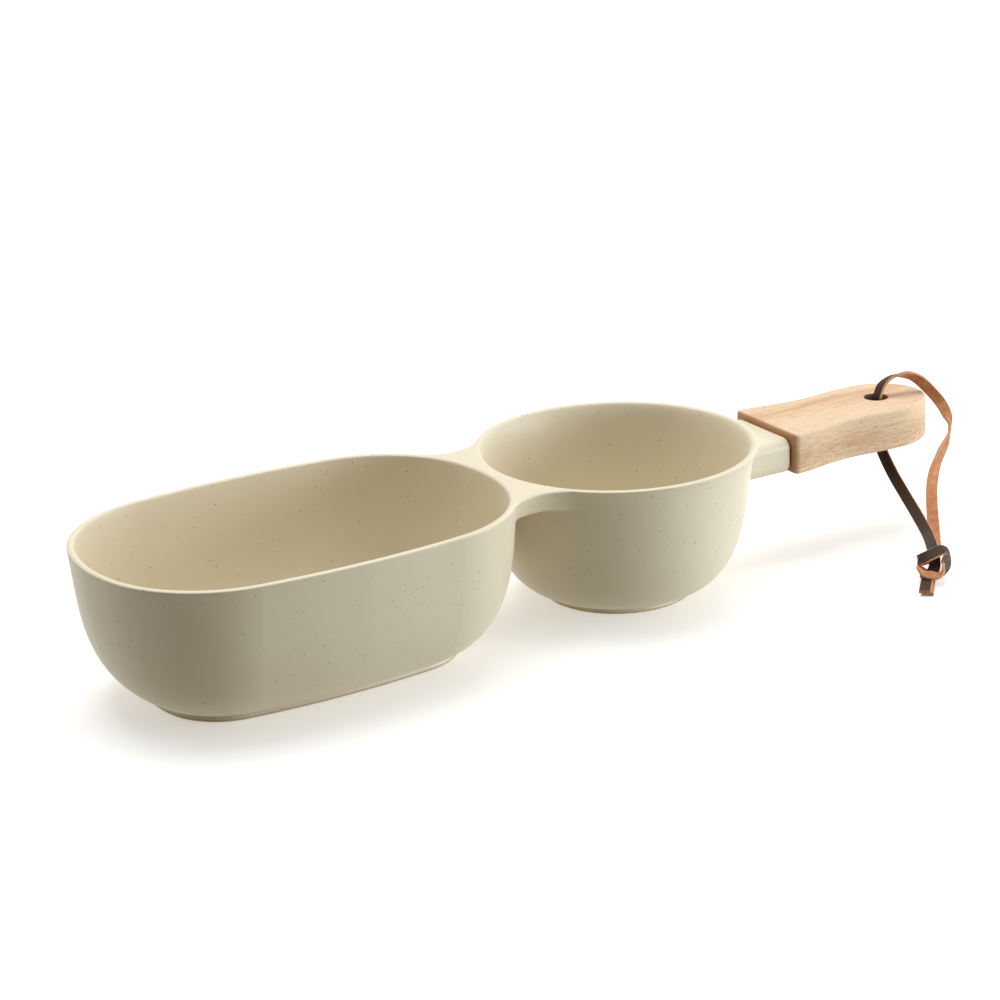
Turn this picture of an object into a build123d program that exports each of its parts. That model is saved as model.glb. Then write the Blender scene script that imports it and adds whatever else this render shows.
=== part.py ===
from build123d import *
from math import acos, atan2, cos, degrees, hypot, pi, radians, sin, tan
import os

# Chip and dip server: an oblong stoneware bowl and a round one cast in one piece, a wooden
# handle glued into the socket of the casting, and a leather lace through the handle's hole.
# Frame: millimetres, +X along the server towards the handle, +Y to its back, +Z up, with the
# origin on the surface it stands on, under the middle of the server (the lace left out).

# Driving dimensions
server_length = 404.0
rim_height = 64.0
dip_radius = 60.0
bowl_pitch = 151.3

# Oblong bowl: each quarter of its rim is three tangent arcs
chip_half_length = 91.2
chip_half_width = 61.0
end_radius = 76.4
corner_radius = 53.1
side_radius = 360.0

# Bowl walls: corners of Bezier curves, (distance in from the rim, height), and the lip
# that each wall runs on into, with its crest at the rim's height
dip_outer = [(28.4, 2.2), (0.0, 8.8), (7.0, 53.0), (0.15, 63.0)]
dip_inner = [(31.1, 7.4), (4.6, 7.4), (9.2, 52.5), (3.2, 63.1)]
chip_outer = [(26.4, 2.2), (0.5, 13.4), (3.0, 41.7), (0.15, 63.0)]
chip_inner = [(32.3, 7.4), (2.5, 7.4), (6.0, 50.0), (3.2, 63.1)]
lip_crest = 1.7
wall_depth = 33.0
clearance = 2.0

# Foot rings
foot_flare = 0.9
foot_width = 4.5
foot_recess = 1.8
foot_edge = 0.6

# Web between the bowls, level with the rims, its concave sides drawn in towards the bottom
web_thickness = 9.5
web_lip_inset = 0.2
web_lip_height = 1.0
web_lower_inset = 2.0
web_lower_edge = 3.0
web_radius = 20.0
web_blend = 2.0

# Neck with the handle's socket, places in x from the round bowl's axis
neck_half_width = 19.5
neck_bottom = 40.2
neck_top = 55.8
neck_root = 45.0
neck_reach = 77.1
neck_corner = 4.5
neck_end_edge = 1.6
neck_blend = 4.0

# Wooden handle, places in x from the round bowl's axis
handle_near = 77.6
handle_bottom = 40.0
handle_top = 58.0
handle_near_half_width = 22.5
handle_waist = (106.0, 18.8)
handle_swell = (137.0, 20.4)
handle_corner = 2.5
handle_edge = 1.3
hole_offset = 138.3
hole_radius = 5.2
hole_edge = 0.5

# Tenon of the handle, in its socket, and the glue around it
tenon_half_width = 15.0
tenon_height = 8.4
tenon_length = 13.6
tenon_corner = 2.0
glue_gap = 0.4

# Leather lace, a flat strip. Its strands' routes run from the middle of the hole to the
# knot, as corners (x from the round bowl's axis, y, height), and the knot lies on the table
lace_width = 5.0
knot_width = 13.5
knot_height = 9.5
knot_length = 15.0
knot_edge = 1.5
knot_top = (122.5, -61.5, 13.4)
knot_heading = (-0.56, -0.65, -0.51)
tail_heading = (-0.67, -0.71, -0.20)
strand_offset = 2.7
tail_length = 12.5
upper_route = [
    (138.3, 0.0, 49.0),
    (138.3, 0.0, 61.5),
    (145.5, -1.2, 68.5),
    (156.5, -3.5, 67.5),
    (165.0, -7.0, 58.5),
    (169.5, -12.5, 49.5),
    (165.0, -20.0, 40.5),
    (151.5, -28.0, 37.0),
    (139.5, -37.0, 32.0),
    (132.0, -46.5, 25.0),
]
lower_route = [
    (138.3, 0.0, 49.0),
    (138.3, 0.0, 36.5),
    (135.0, -14.5, 26.5),
    (131.0, -31.0, 18.5),
    (127.0, -47.5, 16.5),
]
lead_in = 6.0

# Places and lengths worked out from them
chip_x = -server_length / 2 + chip_half_length
dip_x = chip_x + bowl_pitch
handle_far = server_length / 2 - dip_x
web_bottom = rim_height - web_thickness
tenon_z = (neck_bottom + neck_top) / 2
socket_depth = tenon_length - (handle_near - neck_reach) + glue_gap


def arc_centre(from_a, a, from_b, b):
    """The point at from_a from the point a and from_b from the point b, left of a to b."""
    apart = hypot(b[0] - a[0], b[1] - a[1])
    heading = atan2(b[1] - a[1], b[0] - a[0])
    lean = acos((apart**2 + from_a**2 - from_b**2) / (2 * apart * from_a))
    return a[0] + from_a * cos(heading + lean), a[1] + from_a * sin(heading + lean)


end_centre = (chip_half_length - end_radius, 0.0)
side_centre = (0.0, chip_half_width - side_radius)
corner = arc_centre(
    end_radius - corner_radius, end_centre, side_radius - corner_radius, side_centre
)
end_turn = degrees(atan2(corner[1], corner[0] - end_centre[0]))
side_turn = 90 - degrees(atan2(corner[1] - side_centre[1], corner[0]))


def draw_quarter_rim(inset):
    """Quarter of the oblong rim's outline, moved in by inset."""
    end = JernArc((chip_half_length - inset, 0), (0, 1), end_radius - inset, end_turn)
    turn = JernArc(end @ 1, end % 1, corner_radius - inset, 90 - end_turn - side_turn)
    JernArc(turn @ 1, turn % 1, side_radius - inset, side_turn)


def rim_face(inset, height):
    """The whole outline of the oblong rim, moved in by inset, as a face at that height."""
    with BuildSketch(Plane.XY.offset(height)) as face:
        with BuildLine():
            draw_quarter_rim(inset)
            mirror(about=Plane.YZ)
            mirror(about=Plane.XZ)
        make_face()
    return face.sketch


def draw_wall(wall, reach):
    """A wall's curve and its half of the lip, from the foot to the crest, which is returned."""
    curve = [(reach - inset, height) for inset, height in wall]
    before, end = curve[-2:]
    rise = (rim_height - end[1]) / (end[1] - before[1])
    crest = (reach - lip_crest, rim_height)
    Bezier(*curve)
    Bezier(end, (end[0] + (end[0] - before[0]) * rise, rim_height), crest)
    return crest


def outside_section(wall, reach, depth):
    """Section of a bowl without its hollow, from the rim at reach to depth in from it."""
    foot = reach - wall[0][0] + foot_flare
    with BuildSketch(Plane.XZ) as section:
        with BuildLine():
            Polyline((reach - depth, 0), (foot, 0), (reach - wall[0][0], wall[0][1]))
            crest = draw_wall(wall, reach)
            Polyline(crest, (reach - depth, rim_height), (reach - depth, 0))
        make_face()
    return section.sketch


def hollow_section(wall, reach, depth):
    """Section of a bowl's hollow, up to a little above the rim."""
    above = rim_height + clearance
    bottom = wall[0][1]
    with BuildSketch(Plane.XZ) as section:
        with BuildLine():
            Line((reach - depth, bottom), (reach - wall[0][0], bottom))
            crest = draw_wall(wall, reach)
            Polyline(crest, (crest[0], above), (reach - depth, above), (reach - depth, bottom))
        make_face()
    return section.sketch


with BuildPart() as dip_outside:
    add(outside_section(dip_outer, dip_radius, dip_radius))
    revolve(axis=Axis.Z)

with BuildPart() as dip_hollow:
    add(hollow_section(dip_inner, dip_radius, dip_radius))
    revolve(axis=Axis.Z)

with BuildPart() as chip_outside:
    with BuildLine() as chip_path:
        draw_quarter_rim(0)
    sweep(outside_section(chip_outer, chip_half_length, wall_depth), chip_path.line)
    mirror(about=Plane.YZ)
    mirror(about=Plane.XZ)
    extrude(rim_face(wall_depth - 1, 0), amount=rim_height)


with BuildPart() as chip_hollow:
    with BuildLine() as chip_path:
        draw_quarter_rim(0)
    sweep(hollow_section(chip_inner, chip_half_length, wall_depth), chip_path.line)
    mirror(about=Plane.YZ)
    mirror(about=Plane.XZ)
    hollow_height = rim_height + clearance - chip_inner[0][1]
    extrude(rim_face(wall_depth - 1, chip_inner[0][1]), amount=hollow_height)

chip_corner = (chip_x + corner[0], corner[1])
notch = arc_centre(
    corner_radius + web_radius, chip_corner, dip_radius + web_radius, (dip_x, 0)
)

with BuildPart() as web_notch:
    lip_middle = (web_radius + web_lip_inset + lip_crest, rim_height - web_lip_height)
    lower_x = web_radius + web_lower_inset + web_lower_edge
    lower_middle = (lower_x, web_bottom + web_lower_edge)
    above = rim_height + clearance
    below = web_bottom - clearance
    with BuildSketch(Plane.XZ):
        with BuildLine():
            lower = CenterArc(lower_middle, web_lower_edge, 180, 90)
            lip = EllipticalCenterArc(lip_middle, lip_crest, web_lip_height, 90, arc_size=90)
            Line(lower @ 0, lip @ 1)
            Polyline(lip @ 0, (lip_middle[0], above), (0, above), (0, below))
            Polyline((0, below), (lower_x, below), lower @ 1)
        make_face()
    revolve(axis=Axis.Z)

with BuildPart() as web:
    with BuildSketch(Plane.XY.offset(web_bottom)):
        with BuildLine():
            Polyline((dip_x, 0), notch, chip_corner, (chip_corner[0], 0), close=True)
        make_face()
        mirror(about=Plane.XZ)
    extrude(amount=rim_height - web_bottom)
    with Locations((notch[0], notch[1], 0), (notch[0], -notch[1], 0)):
        add(web_notch.part, mode=Mode.SUBTRACT)


def neck_edges(part):
    """Edges where the neck meets the round bowl's wall."""
    return part.edges().filter_by(
        lambda edge: dip_x + neck_root < edge.center().X < dip_x + dip_radius
        and abs(edge.center().Y) <= neck_half_width
        and neck_bottom - neck_end_edge < edge.center().Z < neck_top + neck_end_edge
    )


def web_edges(part):
    """Edges where the web's underside meets the two bowls' walls."""
    return part.edges().filter_by(
        lambda edge: edge.geom_type == GeomType.BSPLINE
        and abs(edge.bounding_box().min.Z - web_bottom) < 0.01
        and abs(edge.bounding_box().max.Z - web_bottom) < 0.01
        and abs(edge.center().Y) < notch[1] - web_radius
    )


def tenon_section(gap):
    """Section of the tenon, or with a gap the section of its socket, across the server."""
    with BuildSketch() as section:
        with Locations((0, tenon_z)):
            width = 2 * (tenon_half_width + gap)
            RectangleRounded(width, tenon_height + 2 * gap, tenon_corner + gap)
    return section.sketch


# The casting: both bowls, their web, and the neck with its socket
with BuildPart() as stoneware_body:
    with Locations((dip_x, 0, 0)):
        add(dip_outside.part)
    with BuildSketch(Plane.YZ.offset(dip_x + neck_root)):
        with Locations((0, tenon_z)):
            RectangleRounded(2 * neck_half_width, neck_top - neck_bottom, neck_corner)
    extrude(amount=neck_reach - neck_root)
    fillet(neck_edges(stoneware_body.part), neck_blend)
    fillet(stoneware_body.faces().sort_by(Axis.X)[-1].edges(), neck_end_edge)
    with Locations((chip_x, 0, 0)):
        add(chip_outside.part)
    add(web.part)
    fillet(web_edges(stoneware_body.part), web_blend)
    with Locations((chip_x, 0, 0)):
        add(chip_hollow.part, mode=Mode.SUBTRACT)
    with Locations((dip_x, 0, 0)):
        add(dip_hollow.part, mode=Mode.SUBTRACT)
    fillet(stoneware_body.faces().filter_by(Plane.XY).sort_by(Axis.Z)[:2].edges(), foot_edge)
    with BuildSketch():
        with Locations((dip_x, 0)):
            Circle(dip_radius - dip_outer[0][0] + foot_flare - foot_width)
        with Locations((chip_x, 0)):
            add(rim_face(chip_outer[0][0] - foot_flare + foot_width, 0))
    extrude(amount=foot_recess, mode=Mode.SUBTRACT)
    with BuildSketch(Plane.YZ.offset(dip_x + neck_reach)):
        add(tenon_section(glue_gap))
    extrude(amount=-socket_depth, mode=Mode.SUBTRACT)

# The handle, one piece of wood with its tenon
with BuildPart() as wooden_handle:
    with BuildSketch(Plane.XY.offset(handle_bottom)) as handle_outline:
        with BuildLine():
            near = (dip_x + handle_near, handle_near_half_width)
            waist = (dip_x + handle_waist[0], handle_waist[1])
            swell = (dip_x + handle_swell[0], handle_swell[1])
            Line((near[0], 0), near)
            Spline(near, waist, swell, tangents=[(1, -0.04), (1, 0)])
            far_length = handle_far - handle_swell[0]
            EllipticalCenterArc((swell[0], 0), far_length, swell[1], 0, arc_size=90)
            mirror(about=Plane.XZ)
        make_face()
        near_ends = handle_outline.vertices().group_by(Axis.X)[0].sort_by(Axis.Y)
        fillet([near_ends[0], near_ends[-1]], handle_corner)
    extrude(amount=handle_top - handle_bottom)
    near_face = wooden_handle.faces().sort_by(Axis.X)[0]
    level_faces = wooden_handle.faces().filter_by(Plane.XY)
    outer_edges = near_face.edges() + level_faces[0].edges() + level_faces[1].edges()
    fillet(outer_edges, handle_edge)
    with Locations((dip_x + hole_offset, 0, handle_top)):
        Hole(hole_radius)
    hole_edges = wooden_handle.edges().filter_by(
        lambda edge: edge.geom_type == GeomType.CIRCLE and abs(edge.radius - hole_radius) < 0.01
    )
    fillet(hole_edges, hole_edge)
    with BuildSketch(Plane.YZ.offset(dip_x + handle_near)):
        add(tenon_section(0))
    extrude(amount=-tenon_length)

# The glue that fills the socket round the tenon
with BuildPart() as handle_adhesive:
    with BuildSketch(Plane.YZ.offset(dip_x + neck_reach)):
        add(tenon_section(glue_gap))
    extrude(amount=-socket_depth)
    add(wooden_handle.part, mode=Mode.SUBTRACT)


def in_place(point):
    """A point of the lace's route, given from the round bowl's axis."""
    return Vector(dip_x + point[0], point[1], point[2])


def bend_radii(points):
    """The largest tangent arc at each corner: 0.45 of the shorter run beside it."""
    radii = []
    for before, here, after in zip(points, points[1:], points[2:]):
        turn = radians((here - before).get_angle(after - here))
        shorter = min((here - before).length, (after - here).length)
        radii.append(0.45 * shorter / tan(turn / 2))
    return radii


heading = Vector(*knot_heading).normalized()
across = heading.cross(Vector(0, 0, 1)).normalized() * strand_offset


def strand_points(route, side):
    """Corners of a strand from the hole to its place on the knot's end face."""
    end = in_place(knot_top) + across * side
    return [in_place(point) for point in route] + [end - heading * lead_in, end]


def draw_strand(points):
    """A strand's route, straight runs joined by tangent arcs."""
    with BuildLine() as path:
        FilletPolyline(*points, radius=bend_radii(points))
    return path.line


upper_points = strand_points(upper_route, -1)
lower_points = strand_points(lower_route, 1)
knot_end = in_place(knot_top) + heading * knot_length

# The lace: two strands from the hole, the overhand knot that ties them, and its two ends
with BuildPart() as lace_upper_strand:
    upper_path = draw_strand(upper_points)
    with BuildSketch(Plane(origin=upper_path @ 0, z_dir=upper_path % 0)):
        Circle(lace_width / 2)
    sweep(path=upper_path)

with BuildPart() as lace_lower_strand:
    lower_path = draw_strand(lower_points)
    with BuildSketch(Plane(origin=lower_path @ 0, z_dir=lower_path % 0)):
        Circle(lace_width / 2)
    sweep(path=lower_path)

with BuildPart() as lace_knot:
    with BuildSketch(Plane(origin=in_place(knot_top), x_dir=across, z_dir=heading)):
        Rectangle(knot_width, knot_height)
    extrude(amount=knot_length)
    fillet(lace_knot.edges(), knot_edge)

with BuildPart() as lace_tails:
    with BuildSketch(Plane(origin=knot_end, x_dir=across, z_dir=heading)):
        with Locations((strand_offset, 0), (-strand_offset, 0)):
            Circle(lace_width / 2)
    extrude(amount=tail_length, dir=Vector(*tail_heading).normalized())

for name, path, points, piece in (
    ("upper strand", upper_path, upper_points, lace_upper_strand),
    ("lower strand", lower_path, lower_points, lace_lower_strand),
):
    length = sum(edge.length for edge in path.edges())
    print(name, "length", round(length, 1), "mm, volume", round(piece.part.volume), "mm3,")
    print("of", round(pi * lace_width**2 / 4 * length), "with bend radii", end=" ")
    print([round(radius, 1) for radius in bend_radii(points)])

os.makedirs("parts", exist_ok=True)
pieces = {
    "stoneware_body": stoneware_body,
    "wooden_handle": wooden_handle,
    "handle_adhesive": handle_adhesive,
    "lace_upper_strand": lace_upper_strand,
    "lace_lower_strand": lace_lower_strand,
    "lace_knot": lace_knot,
    "lace_tails": lace_tails,
}
for name, piece in pieces.items():
    piece.part.label = name
    export_step(piece.part, f"parts/{name}.step")
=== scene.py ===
from math import radians

import bpy
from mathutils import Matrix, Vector


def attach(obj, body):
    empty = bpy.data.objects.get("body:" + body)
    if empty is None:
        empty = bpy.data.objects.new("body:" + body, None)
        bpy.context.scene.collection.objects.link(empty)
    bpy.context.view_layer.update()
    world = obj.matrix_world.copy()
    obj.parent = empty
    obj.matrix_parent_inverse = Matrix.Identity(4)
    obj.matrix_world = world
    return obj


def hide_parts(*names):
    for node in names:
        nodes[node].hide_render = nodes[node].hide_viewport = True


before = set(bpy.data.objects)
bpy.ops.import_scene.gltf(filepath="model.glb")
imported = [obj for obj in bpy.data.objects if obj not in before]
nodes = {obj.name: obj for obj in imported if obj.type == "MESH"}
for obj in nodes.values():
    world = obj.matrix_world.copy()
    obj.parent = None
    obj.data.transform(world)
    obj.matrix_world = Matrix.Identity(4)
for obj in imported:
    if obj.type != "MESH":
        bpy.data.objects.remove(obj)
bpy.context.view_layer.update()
mm = 0.001
dipX = 40.5              # the round bowl's axis, in mm
bpy.ops.object.select_all(action="DESELECT")
print("frame loaded:", len(nodes), "CAD nodes")


def hexColour(code):
    # sRGB hex to the linear colour that a shader wants
    parts = [int(code[i : i + 2], 16) / 255 for i in (1, 3, 5)]
    return [p / 12.92 if p <= 0.04045 else ((p + 0.055) / 1.055) ** 2.4 for p in parts] + [1.0]


def addNode(tree, kind, settings={}, values={}, links={}):
    # One node: its settings, its fixed input values and what is plugged into it
    node = tree.nodes.new("ShaderNode" + kind)
    for name, value in settings.items():
        setattr(node, name, value)
    for socket, value in values.items():
        node.inputs[socket].default_value = value
    for socket, source in links.items():
        tree.links.new(source, node.inputs[socket])
    return node


def newMaterial(name):
    material = bpy.data.materials.new(name)
    material.use_nodes = True
    material.node_tree.nodes.clear()
    return material, material.node_tree


# Camera, in front on the left and looking a little down
camera = {
    "place": (-0.57393, -0.94781, 0.44563),
    "turn": (70.261, 1.974, -31.164),       # degrees
    "lens": 102.1,                          # mm
    "sensor": 36,                           # mm across
}


def makeCamera():
    data = bpy.data.cameras.new("camera")
    data.lens = camera["lens"]
    data.sensor_width = camera["sensor"]
    obj = bpy.data.objects.new("camera", data)
    obj.location = camera["place"]
    obj.rotation_euler = [radians(angle) for angle in camera["turn"]]
    bpy.context.scene.collection.objects.link(obj)
    bpy.context.scene.camera = obj


makeCamera()
print("camera in place")

# Leather lace: a flat strip, smooth and dark on one side, suede on the other.
# Routes start at the middle of the handle's hole and are in mm from the round bowl's axis.
lace = {
    "width": 5.0,
    "thickness": 1.35,
    "corner": 0.22,          # how far the cut edges are broken
    "smoothness": 10,        # path points for each run of a route
    "sharpEdge": 0.7,        # radians, above which an edge stays sharp
    "uvScale": 0.1,          # strip coordinates for each mm
}
# Each route point has the direction that the smooth side faces there
upperRoute = [
    ((138.3, 0.0, 49.0), (-0.97, 0.03, 0.2)),
    ((138.3, 0.0, 60.5), (-0.97, 0.03, 0.2)),
    ((145.5, -1.2, 67.0), (-0.5, 0.35, 0.8)),
    ((156.0, -3.5, 66.2), (0.1, 0.7, 0.7)),
    ((163.8, -7.0, 57.8), (0.45, 0.85, 0.1)),
    ((168.5, -12.5, 49.0), (0.1, 0.96, -0.25)),
    ((165.0, -20.0, 40.3), (-0.8, 0.55, 0.08)),
    ((151.3, -29.0, 36.5), (-0.3, 0.92, -0.2)),
    ((138.6, -39.0, 30.5), (0.3, 0.88, -0.3)),
    ((129.8, -50.0, 22.5), (0.45, 0.82, -0.34)),
    ((123.2, -60.0, 15.0), (0.45, 0.8, -0.34)),
    ((118.1, -66.9, 12.0), (0.3, 0.5, -0.8)),
]
lowerRoute = [
    ((138.3, 0.0, 49.0), (-0.97, 0.03, 0.2)),
    ((139.2, 0.0, 37.8), (-0.82, -0.42, 0.31)),
    ((133.8, -16.5, 29.0), (-0.76, -0.54, 0.36)),
    ((128.8, -34.0, 22.5), (-0.7, -0.6, 0.4)),
    ((122.6, -52.0, 17.6), (-0.66, -0.7, 0.3)),
    ((117.2, -64.8, 14.6), (-0.58, -0.65, 0.5)),
    ((114.9, -70.0, 10.0), (-0.4, -0.46, 0.8)),
]

# The overhand knot, in mm from its top: across to the right, down the lace, out to its front
knot = {
    "top": (117.1, -66.8, 12.5),
    "down": (-0.52, -0.60, -0.60),
}
frontStrand = [
    ((0.4, 4.4, 0.4), (0, 0, 1)),
    ((0.8, 7.2, -0.4), (0, 0, 1)),
    ((1.0, 10.5, -1.2), (0, 0.1, 1)),
    ((-0.6, 13.8, -1.0), (0, 0, 1)),
    ((-2.0, 17.0, 0.4), (0, -0.4, 0.9)),
]
frontTail = [
    ((-2.0, 17.0, 0.4), (0, -0.4, 0.9)),
    ((-2.3, 22.5, 4.2), (0, -0.6, 0.8)),
    ((-2.6, 28.5, 8.7), (0, -0.6, 0.8)),
]
wrappingStrand = [
    ((0.8, 0.0, -0.6), (0, 0, -1)),
    ((0.6, 2.6, -1.8), (0, 0, -1)),
    ((-2.4, 5.2, -2.4), (-0.2, 0, -1)),
    ((-5.4, 6.8, -1.4), (-0.7, 0.1, -0.7)),
    ((-6.0, 8.4, 1.2), (-0.9, 0.1, 0.5)),
    ((-3.2, 8.2, 3.2), (-0.3, 0.2, 1)),
    ((1.4, 5.4, 3.5), (0.1, 0, 1)),
    ((4.8, 2.9, 2.3), (0.4, -0.3, 0.9)),
    ((6.2, 4.6, -0.4), (0.9, -0.1, 0.5)),
    ((5.6, 8.6, -0.8), (0.7, 0.1, 0.7)),
    ((5.0, 12.2, 0.2), (0.7, 0.6, 0.3)),
    ((2.4, 16.2, 2.0), (0.2, 0.3, -0.9)),
    ((-1.6, 16.6, 2.4), (-0.1, 0.25, -0.95)),
    ((-4.8, 12.8, 0.8), (-0.6, 0.4, -0.7)),
    ((-4.6, 11.6, -1.9), (-0.5, 0.2, -0.9)),
    ((-2.4, 13.8, -2.5), (0, 0, -1)),
    ((-1.0, 17.0, -1.4), (0, 0.4, -0.9)),
]
wrappingTail = [
    ((-1.0, 17.0, -1.4), (0, 0.4, -0.9)),
    ((-1.1, 22.5, 2.5), (0, 0.6, -0.8)),
    ((-1.4, 28.6, 7.0), (0, 0.6, -0.8)),
]


def routePath(name, points):
    # The smooth line of a route: a NURBS spline with the points as its control points
    curve = bpy.data.curves.new(name, "CURVE")
    curve.dimensions = "3D"
    curve.resolution_u = lace["smoothness"]
    spline = curve.splines.new("NURBS")
    spline.points.add(len(points) - 1)
    for knotPoint, place in zip(spline.points, points):
        knotPoint.co = (*place, 1)
    spline.order_u = 3
    spline.use_endpoint_u = True
    obj = bpy.data.objects.new(name, curve)
    line = bpy.data.meshes.new_from_object(obj)
    path = [vertex.co.copy() for vertex in line.vertices]
    bpy.data.objects.remove(obj)
    return path


def facingAlong(path, points, facings):
    # The smooth side's direction at each path point, blended between the route's points
    stops = [min(range(len(path)), key=lambda i: (path[i] - p).length) for p in points]
    stops[0], stops[-1] = 0, len(path) - 1
    for i in range(1, len(stops)):
        stops[i] = max(stops[i], stops[i - 1] + 1)
    turned = []
    for (a, b), (near, far) in zip(zip(stops, stops[1:]), zip(facings, facings[1:])):
        for i in range(a, b):
            share = (i - a) / (b - a)
            share = share * share * (3 - 2 * share)
            turned.append(near.lerp(far, share))
    return turned + [facings[-1]]


def strapSection():
    # Corners round the strip's section, as (across, out), from the smooth side on
    half, deep, cut = lace["width"] / 2 * mm, lace["thickness"] / 2 * mm, lace["corner"] * mm
    spread = [-1, -0.5, 0, 0.5, 1]
    smooth = [(share * (half - cut), deep) for share in spread]
    suede = [(-share * (half - cut), -deep) for share in spread]
    rightCut = [(half, deep - cut), (half, cut - deep)]
    leftCut = [(-half, cut - deep), (-half, deep - cut)]
    return smooth + rightCut + suede + leftCut


def strapShell(path, facings):
    # Vertices, faces, sides and strip coordinates of a flat strip along a path
    section = strapSection()
    count = len(section)
    vertices, faces, sides, laid = [], [], [], []
    run = 0.0
    for i, place in enumerate(path):
        ahead = (path[min(i + 1, len(path) - 1)] - path[max(i - 1, 0)]).normalized()
        out = (facings[i] - ahead * facings[i].dot(ahead)).normalized()
        side = out.cross(ahead)
        run += (place - path[i - 1]).length if i else 0
        for across, up in section:
            vertices.append(place + side * across + out * up)
            laid.append((across / mm * lace["uvScale"], run / mm * lace["uvScale"]))
    for i in range(len(path) - 1):
        here, ahead = i * count, (i + 1) * count
        for j in range(count):
            k = (j + 1) % count
            faces.append((here + j, here + k, ahead + k, ahead + j))
            sides.append(0 if j < 4 else 1 if 7 <= j < 11 else 2)     # smooth, suede, cut
    last = (len(path) - 1) * count
    faces += [tuple(reversed(range(count))), tuple(range(last, last + count))]
    sides += [2, 2]
    return vertices, faces, sides, laid


def makeStrap(name, shells):
    # One piece of lace from one or more closed strips
    vertices, faces, sides, laid = [], [], [], []
    for shellVertices, shellFaces, shellSides, shellLaid in shells:
        faces += [tuple(i + len(vertices) for i in face) for face in shellFaces]
        vertices += shellVertices
        sides += shellSides
        laid += shellLaid
    mesh = bpy.data.meshes.new(name)
    mesh.from_pydata(vertices, [], faces)
    uv = mesh.uv_layers.new(name="alongStrip")
    for loop in mesh.loops:
        uv.data[loop.index].uv = laid[loop.vertex_index]
    for polygon, side in zip(mesh.polygons, sides):
        polygon.material_index = side
    obj = bpy.data.objects.new(name, mesh)
    bpy.context.scene.collection.objects.link(obj)
    bpy.context.view_layer.objects.active = obj
    obj.select_set(True)
    bpy.ops.object.mode_set(mode="EDIT")
    bpy.ops.mesh.select_all(action="SELECT")
    bpy.ops.mesh.normals_make_consistent(inside=False)
    bpy.ops.object.mode_set(mode="OBJECT")
    bpy.ops.object.shade_smooth_by_angle(angle=lace["sharpEdge"])
    obj.select_set(False)
    return obj


def strapAlong(route, toPlace, toTurn):
    points = [toPlace(p) for p, _ in route]
    facings = [toTurn(f) for _, f in route]
    path = routePath("laceRoute", points)
    return path, strapShell(path, facingAlong(path, points, facings))


def onBody(point):
    return Vector((dipX + point[0], point[1], point[2])) * mm


knotDown = Vector(knot["down"]).normalized()
knotAcross = Vector((0, 0, 1)).cross(knotDown).normalized()
knotOut = knotDown.cross(knotAcross)


def turnInKnot(point):
    return knotAcross * point[0] + knotDown * point[1] + knotOut * point[2]


def inKnot(point):
    return onBody(knot["top"]) + turnInKnot(point) * mm


def makeLace():
    upperPath, upperShell = strapAlong(upperRoute, onBody, Vector)
    lowerPath, lowerShell = strapAlong(lowerRoute, onBody, Vector)
    upper = makeStrap("upperStrand", [upperShell])
    lower = makeStrap("lowerStrand", [lowerShell])
    _, through = strapAlong(frontStrand, inKnot, turnInKnot)
    _, wrap = strapAlong(wrappingStrand, inKnot, turnInKnot)
    tied = makeStrap("overhandKnot", [through, wrap])
    _, front = strapAlong(frontTail, inKnot, turnInKnot)
    _, behind = strapAlong(wrappingTail, inKnot, turnInKnot)
    tails = makeStrap("laceTails", [front, behind])
    pieces = {
        "lace_upper_strand": upper,
        "lace_lower_strand": lower,
        "lace_knot": tied,
        "lace_tails": tails,
    }
    sides = (smoothLeather(), suedeLeather(), cutLeather())
    for node, piece in pieces.items():
        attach(piece, "root")
        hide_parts(node)
        for material in sides:
            piece.data.materials.append(material)
    for piece in (tied, tails):
        low = min(v.co.z for v in piece.data.vertices)
        print(piece.name, "lowest point", round(low / mm, 2), "mm")


leather = {
    "creases": (30, 9),      # to each 10 mm, across the strip and along it
    "mottle": 420,           # patches to each metre
    "nap": 2200,             # tufts to each metre
    "fibre": 1400,           # fibres to each metre of a cut edge
    "smoothDark": "#32241a",
    "smoothLight": "#4f392b",
    "suedeDark": "#a4623a",
    "suedeLight": "#cd9163",
    "cutDark": "#b67c52",
    "cutLight": "#d8a47c",
}


def smoothLeather():
    # Grain side of vegetable-tanned leather, dyed and burnished: dark, low sheen, fine creases
    material, tree = newMaterial("smoothLeather")
    strip = addNode(tree, "UVMap", {"uv_map": "alongStrip"})
    stretch = addNode(
        tree, "Mapping", {}, {"Scale": (*leather["creases"], 1)}, {"Vector": strip.outputs["UV"]},
    )
    crease = addNode(
        tree, "TexNoise", {}, {"Scale": 1, "Detail": 6, "Roughness": 0.65}, {"Vector": stretch.outputs[0]},
    )
    colour = addNode(tree, "ValToRGB", {}, {}, {"Fac": crease.outputs["Fac"]})
    colour.color_ramp.elements[0].position = 0.35
    colour.color_ramp.elements[0].color = hexColour(leather["smoothDark"])
    colour.color_ramp.elements[1].position = 0.7
    colour.color_ramp.elements[1].color = hexColour(leather["smoothLight"])
    bump = addNode(
        tree, "Bump", {}, {"Strength": 0.35, "Distance": 0.0002}, {"Height": crease.outputs["Fac"]},
    )
    shader = addNode(
        tree, "BsdfPrincipled", {}, {"Roughness": 0.48, "IOR": 1.5, "Specular IOR Level": 0.25},
        {"Base Color": colour.outputs["Color"], "Normal": bump.outputs["Normal"]},
    )
    addNode(tree, "OutputMaterial", {}, {}, {"Surface": shader.outputs[0]})
    return material


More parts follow.
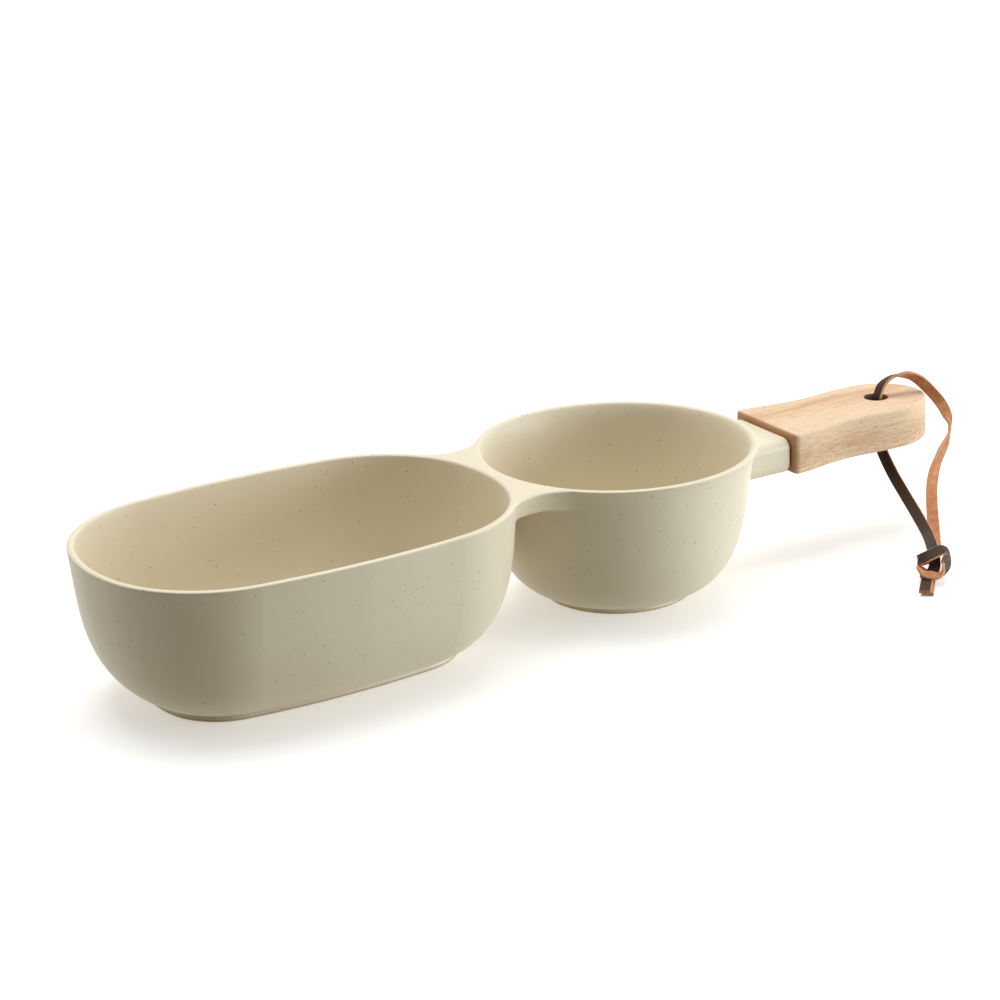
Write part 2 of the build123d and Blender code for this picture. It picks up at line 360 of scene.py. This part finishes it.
def suedeLeather():
    # Flesh side of the same hide, split and brushed: tan nap, matt, mottled where it was rubbed
    material, tree = newMaterial("suedeLeather")
    place = addNode(tree, "TexCoord").outputs["Object"]
    mottle = addNode(
        tree, "TexNoise", {}, {"Scale": leather["mottle"], "Detail": 5, "Roughness": 0.7},
        {"Vector": place},
    )
    nap = addNode(
        tree, "TexNoise", {}, {"Scale": leather["nap"], "Detail": 3, "Roughness": 0.7},
        {"Vector": place},
    )
    both = addNode(
        tree, "Math", {"operation": "MULTIPLY_ADD"}, {1: 0.45},
        {0: nap.outputs["Fac"], 2: mottle.outputs["Fac"]},
    )
    colour = addNode(tree, "ValToRGB", {}, {}, {"Fac": both.outputs[0]})
    colour.color_ramp.elements[0].position = 0.5
    colour.color_ramp.elements[0].color = hexColour(leather["suedeDark"])
    colour.color_ramp.elements[1].position = 0.95
    colour.color_ramp.elements[1].color = hexColour(leather["suedeLight"])
    bump = addNode(tree, "Bump", {}, {"Strength": 0.5, "Distance": 0.0002}, {"Height": nap.outputs["Fac"]})
    shader = addNode(
        tree, "BsdfPrincipled", {}, {"Roughness": 0.95, "Sheen Weight": 0.25, "Specular IOR Level": 0.2},
        {"Base Color": colour.outputs["Color"], "Normal": bump.outputs["Normal"]},
    )
    addNode(tree, "OutputMaterial", {}, {}, {"Surface": shader.outputs[0]})
    return material


def cutLeather():
    # Knife-cut edge of the strip: raw, pale tan, fibrous
    material, tree = newMaterial("cutLeather")
    place = addNode(tree, "TexCoord").outputs["Object"]
    fibre = addNode(tree, "TexNoise", {}, {"Scale": leather["fibre"], "Detail": 4}, {"Vector": place})
    colour = addNode(tree, "ValToRGB", {}, {}, {"Fac": fibre.outputs["Fac"]})
    colour.color_ramp.elements[0].position = 0.3
    colour.color_ramp.elements[0].color = hexColour(leather["cutDark"])
    colour.color_ramp.elements[1].position = 0.65
    colour.color_ramp.elements[1].color = hexColour(leather["cutLight"])
    bump = addNode(
        tree, "Bump", {}, {"Strength": 0.4, "Distance": 0.0001}, {"Height": fibre.outputs["Fac"]},
    )
    shader = addNode(
        tree, "BsdfPrincipled", {}, {"Roughness": 0.8},
        {"Base Color": colour.outputs["Color"], "Normal": bump.outputs["Normal"]},
    )
    addNode(tree, "OutputMaterial", {}, {}, {"Surface": shader.outputs[0]})
    return material


makeLace()
print("lace made")

glaze = {
    "ivory": "#e7ddc6",
    "cloud": "#e0d5b9",
    "speck": "#9c8250",
    "clay": "#cdb696",
    "cloudSize": 35,         # mm
    "speckSpacing": 2.7,     # mm between specks in the glaze
    "speckSize": 0.5,        # mm across
    "rippleSize": 5,         # mm, the brushed-on glaze's unevenness
    "roughness": 0.42,
    "bareBelow": 0.8,        # mm above the table, the foot rings' wiped edge
}


def speckledGlaze():
    # Stoneware dipped in a satin magnesia glaze: ivory, soft broad highlights, iron specks
    material, tree = newMaterial("speckledGlaze")
    place = addNode(tree, "TexCoord").outputs["Object"]
    cloud = addNode(
        tree, "TexNoise", {}, {"Scale": 1000 / glaze["cloudSize"], "Detail": 3}, {"Vector": place},
    )
    body = addNode(
        tree, "Mix", {"data_type": "RGBA"},
        {6: hexColour(glaze["ivory"]), 7: hexColour(glaze["cloud"])}, {0: cloud.outputs["Fac"]},
    )
    cells = addNode(tree, "TexVoronoi", {}, {"Scale": 1000 / glaze["speckSpacing"]}, {"Vector": place})
    pick = addNode(tree, "SeparateColor", {}, {}, {0: cells.outputs["Color"]})
    radius = glaze["speckSize"] / 2 / glaze["speckSpacing"]
    size = addNode(
        tree, "MapRange", {}, {"From Min": 0.3, "To Max": radius * 1.6}, {"Value": pick.outputs[0]},
    )
    edge = addNode(
        tree, "Math", {"operation": "SUBTRACT"}, {}, {0: size.outputs[0], 1: cells.outputs["Distance"]},
    )
    speck = addNode(
        tree, "MapRange", {}, {"From Min": -radius * 0.2, "From Max": radius * 0.5, "To Max": 0.75},
        {"Value": edge.outputs[0]},
    )
    speckled = addNode(
        tree, "Mix", {"data_type": "RGBA"}, {7: hexColour(glaze["speck"])},
        {0: speck.outputs[0], 6: body.outputs[2]},
    )
    height = addNode(tree, "SeparateXYZ", {}, {}, {0: place})
    bare = addNode(
        tree, "MapRange", {},
        {"From Min": (glaze["bareBelow"] + 0.3) * mm, "From Max": glaze["bareBelow"] * mm},
        {"Value": height.outputs["Z"]},
    )
    whole = addNode(
        tree, "Mix", {"data_type": "RGBA"}, {7: hexColour(glaze["clay"])},
        {0: bare.outputs[0], 6: speckled.outputs[2]},
    )
    ripple = addNode(
        tree, "TexNoise", {}, {"Scale": 1000 / glaze["rippleSize"], "Detail": 3}, {"Vector": place},
    )
    sheen = addNode(
        tree, "MapRange", {},
        {"To Min": glaze["roughness"] - 0.05, "To Max": glaze["roughness"] + 0.05},
        {"Value": cloud.outputs["Fac"]},
    )
    matt = addNode(
        tree, "Mix", {}, {3: 0.9}, {0: bare.outputs[0], 2: sheen.outputs[0]},
    )
    bump = addNode(
        tree, "Bump", {}, {"Strength": 0.12, "Distance": 0.0002}, {"Height": ripple.outputs["Fac"]},
    )
    shader = addNode(
        tree, "BsdfPrincipled", {}, {"IOR": 1.5},
        {"Base Color": whole.outputs[2], "Roughness": matt.outputs[0], "Normal": bump.outputs["Normal"]},
    )
    addNode(tree, "OutputMaterial", {}, {}, {"Surface": shader.outputs[0]})
    return material


wood = {
    "light": "#e6caa8",
    "dark": "#c8996e",
    "pore": "#a87a52",
    "endGrain": "#a9774c",
    # painted shade: dark brown for the bore of the hanging hole
    "paintedHoleShade": "#5a3520",
    "ringScale": 15.625,     # of the wave texture, rings about 20 mm apart
    "pith": (-34, -12),      # mm, Y and Z of the line that the rings lie round
    "wander": 0.12,          # how fast the rings change along the handle
    "fibre": (26, 0.8),      # mm long and across
    "pores": (5, 0.33),      # mm long and across
}

handleEdges = {
    "near": dipX + 77.6,     # mm, X of the end at the bowl
    "hole": dipX + 138.3,    # mm, X of the hole's middle
    "holeRadius": 5.2,       # mm
}


def grainScale(length, width):
    # Noise drawn out along the handle, for streaks of a length and a width in mm
    return 1000 / length, 1000 / width, 1000 / width


def oiledWood():
    # Rubberwood, sawn along the grain, sanded and oiled: pale gold, soft rings, short dark pores, with
    # painted shade inside the hanging hole
    material, tree = newMaterial("oiledWood")
    near, hole, rim = (handleEdges[name] * mm for name in ("near", "hole", "holeRadius"))
    place = addNode(tree, "TexCoord").outputs["Object"]
    apart = addNode(tree, "SeparateXYZ", {}, {}, {0: place})
    fibre = addNode(tree, "Mapping", {}, {"Scale": grainScale(*wood["fibre"])}, {"Vector": place})
    grain = addNode(
        tree, "TexNoise", {}, {"Scale": 1, "Detail": 5, "Roughness": 0.6}, {"Vector": fibre.outputs[0]},
    )
    pithY, pithZ = wood["pith"]
    pith = addNode(
        tree, "Mapping", {},
        {"Location": (0, -pithY * mm, -pithZ * mm), "Scale": (wood["wander"], 1, 1)}, {"Vector": place},
    )
    rings = addNode(
        tree, "TexWave", {"wave_type": "RINGS", "rings_direction": "X"},
        {"Scale": wood["ringScale"], "Distortion": 3.0, "Detail": 3, "Detail Scale": 1.4},
        {"Vector": pith.outputs[0]},
    )
    blend = addNode(
        tree, "Math", {"operation": "MULTIPLY_ADD"}, {1: 0.3},
        {0: rings.outputs["Fac"], 2: grain.outputs["Fac"]},
    )
    body = addNode(tree, "ValToRGB", {}, {}, {"Fac": blend.outputs[0]})
    body.color_ramp.elements[0].position = 0.3
    body.color_ramp.elements[0].color = hexColour(wood["dark"])
    body.color_ramp.elements[1].position = 0.72
    body.color_ramp.elements[1].color = hexColour(wood["light"])
    streak = addNode(tree, "Mapping", {}, {"Scale": grainScale(*wood["pores"])}, {"Vector": place})
    pores = addNode(tree, "TexNoise", {}, {"Scale": 1, "Detail": 2}, {"Vector": streak.outputs[0]})
    poreDepth = addNode(
        tree, "MapRange", {}, {"From Min": 0.58, "From Max": 0.7, "To Max": 0.65},
        {"Value": pores.outputs["Fac"]},
    )
    porous = addNode(
        tree, "Mix", {"data_type": "RGBA"}, {7: hexColour(wood["pore"])},
        {0: poreDepth.outputs[0], 6: body.outputs["Color"]},
    )
    nearEnd = addNode(
        tree, "MapRange", {}, {"From Min": near + 1.2 * mm, "From Max": near + 0.2 * mm, "To Max": 0.85},
        {"Value": apart.outputs["X"]},
    )
    ended = addNode(
        tree, "Mix", {"data_type": "RGBA"}, {7: hexColour(wood["endGrain"])},
        {0: nearEnd.outputs[0], 6: porous.outputs[2]},
    )
    # Painted shade: the bore of the hanging hole and a thin ring round its mouth are coloured dark brown,
    # where shade falls in the hole
    fromHole = addNode(
        tree, "Mapping", {}, {"Location": (-hole, 0, 0), "Scale": (1, 1, 0)}, {"Vector": place},
    )
    reach = addNode(tree, "VectorMath", {"operation": "LENGTH"}, {}, {0: fromHole.outputs[0]})
    holeShadeMask = addNode(
        tree, "MapRange", {}, {"From Min": rim + 0.4 * mm, "From Max": rim - 0.1 * mm, "To Max": 0.9},
        {"Value": reach.outputs["Value"]},
    )
    whole = addNode(
        tree, "Mix", {"data_type": "RGBA"}, {7: hexColour(wood["paintedHoleShade"])},
        {0: holeShadeMask.outputs[0], 6: ended.outputs[2]},
    )
    bump = addNode(
        tree, "Bump", {}, {"Strength": 0.2, "Distance": 0.0002}, {"Height": grain.outputs["Fac"]},
    )
    shader = addNode(
        tree, "BsdfPrincipled", {}, {"Roughness": 0.55, "IOR": 1.5, "Specular IOR Level": 0.35},
        {"Base Color": whole.outputs[2], "Normal": bump.outputs["Normal"]},
    )
    addNode(tree, "OutputMaterial", {}, {}, {"Surface": shader.outputs[0]})
    return material


glue = {
    "light": "#cbbf9f",
    "dark": "#b7a884",
    "cloud": 300,            # patches to each metre
}


def curedGlue():
    # Epoxy that fills the handle's socket: cream, smooth, slightly uneven
    material, tree = newMaterial("curedGlue")
    place = addNode(tree, "TexCoord").outputs["Object"]
    cloud = addNode(tree, "TexNoise", {}, {"Scale": glue["cloud"]}, {"Vector": place})
    colour = addNode(
        tree, "Mix", {"data_type": "RGBA"}, {6: hexColour(glue["light"]), 7: hexColour(glue["dark"])},
        {0: cloud.outputs["Fac"]},
    )
    shader = addNode(tree, "BsdfPrincipled", {}, {"Roughness": 0.4}, {"Base Color": colour.outputs[2]})
    addNode(tree, "OutputMaterial", {}, {}, {"Surface": shader.outputs[0]})
    return material


def dressNode(node, material):
    obj = nodes[node]
    obj.data.materials.clear()
    obj.data.materials.append(material)


dressNode("stoneware_body", speckledGlaze())
dressNode("wooden_handle", oiledWood())
dressNode("handle_adhesive", curedGlue())
print("materials on the CAD nodes")

studio = {
    "floor": "#f6f5f3",
    "floorSize": 8,                         # m
    "darkSide": (-0.58, -0.81, 0.05),       # where the studio is unlit, in front on the left
    "wall": (1.0, 0.98, 0.94),              # light off the white walls
    "gloom": (0.02, 0.017, 0.010),          # and from the unlit side
    "bounce": (0.66, 0.65, 0.58),           # off the table
    "shadedBounce": (0.34, 0.31, 0.22),     # off the table on the unlit side
    "strength": 0.86,
    "floorGlow": 0.35,
}
lamps = {
    # place, aim, width and height in metres, watts, colour
    "sideSoftbox": ((0.72, -0.50, 0.15), (0.12, 0, 0.04), (0.7, 0.28), 4.4, (0.84, 0.92, 1.0)),
    "overheadSoftbox": ((0.1, 0.45, 1.6), (0, 0, 0.03), (1.3, 1.3), 19, (0.96, 0.97, 1.0)),
    "lowCard": ((0.26, -0.40, 0.06), (0.10, 0, 0.03), (0.35, 0.1), 0.32, (0.96, 0.98, 1.0)),
}


def makeStudio():
    bpy.ops.mesh.primitive_plane_add(size=studio["floorSize"], location=(0, 0, 0))
    floor = bpy.context.object
    floor.name = "studioFloor"
    floor.select_set(False)
    material, tree = newMaterial("floorPaper")
    shader = addNode(
        tree, "BsdfPrincipled", {},
        {
            "Base Color": hexColour(studio["floor"]), "Roughness": 0.9,
            "Emission Color": (1, 1, 1, 1), "Emission Strength": studio["floorGlow"],
        },
    )
    addNode(tree, "OutputMaterial", {}, {}, {"Surface": shader.outputs[0]})
    floor.data.materials.append(material)
    floor.visible_diffuse = False           # the sky below stands for the table's bounce
    world = bpy.data.worlds.new("studioSky")
    bpy.context.scene.world = world
    world.use_nodes = True
    tree = world.node_tree
    sky = addNode(tree, "TexCoord").outputs["Generated"]
    turned = addNode(tree, "VectorMath", {"operation": "DOT_PRODUCT"}, {1: studio["darkSide"]}, {0: sky})
    unlit = addNode(
        tree, "MapRange", {"interpolation_type": "SMOOTHSTEP"}, {"From Min": -0.1, "From Max": 0.8},
        {"Value": turned.outputs["Value"]},
    )
    around = addNode(
        tree, "Mix", {"data_type": "RGBA"}, {6: (*studio["wall"], 1), 7: (*studio["gloom"], 1)},
        {0: unlit.outputs[0]},
    )
    level = addNode(tree, "SeparateXYZ", {}, {}, {0: sky})
    below = addNode(
        tree, "MapRange", {"interpolation_type": "SMOOTHSTEP"}, {"From Min": 0.05, "From Max": -0.2},
        {"Value": level.outputs["Z"]},
    )
    bounce = addNode(
        tree, "Mix", {"data_type": "RGBA"}, {6: (*studio["bounce"], 1), 7: (*studio["shadedBounce"], 1)},
        {0: unlit.outputs[0]},
    )
    light = addNode(
        tree, "Mix", {"data_type": "RGBA"}, {},
        {0: below.outputs[0], 6: around.outputs[2], 7: bounce.outputs[2]},
    )
    background = tree.nodes["Background"]
    background.inputs["Strength"].default_value = studio["strength"]
    tree.links.new(light.outputs[2], background.inputs["Color"])
    for name, (place, aim, size, watts, colour) in lamps.items():
        data = bpy.data.lights.new(name, "AREA")
        data.shape = "RECTANGLE"
        data.size, data.size_y = size
        data.energy = watts
        data.color = colour
        obj = bpy.data.objects.new(name, data)
        obj.location = place
        obj.visible_camera = False
        obj.rotation_euler = (Vector(aim) - Vector(place)).to_track_quat("-Z", "Y").to_euler()
        bpy.context.scene.collection.objects.link(obj)
    bpy.context.scene.view_settings.view_transform = "Standard"


makeStudio()
print("studio lit")
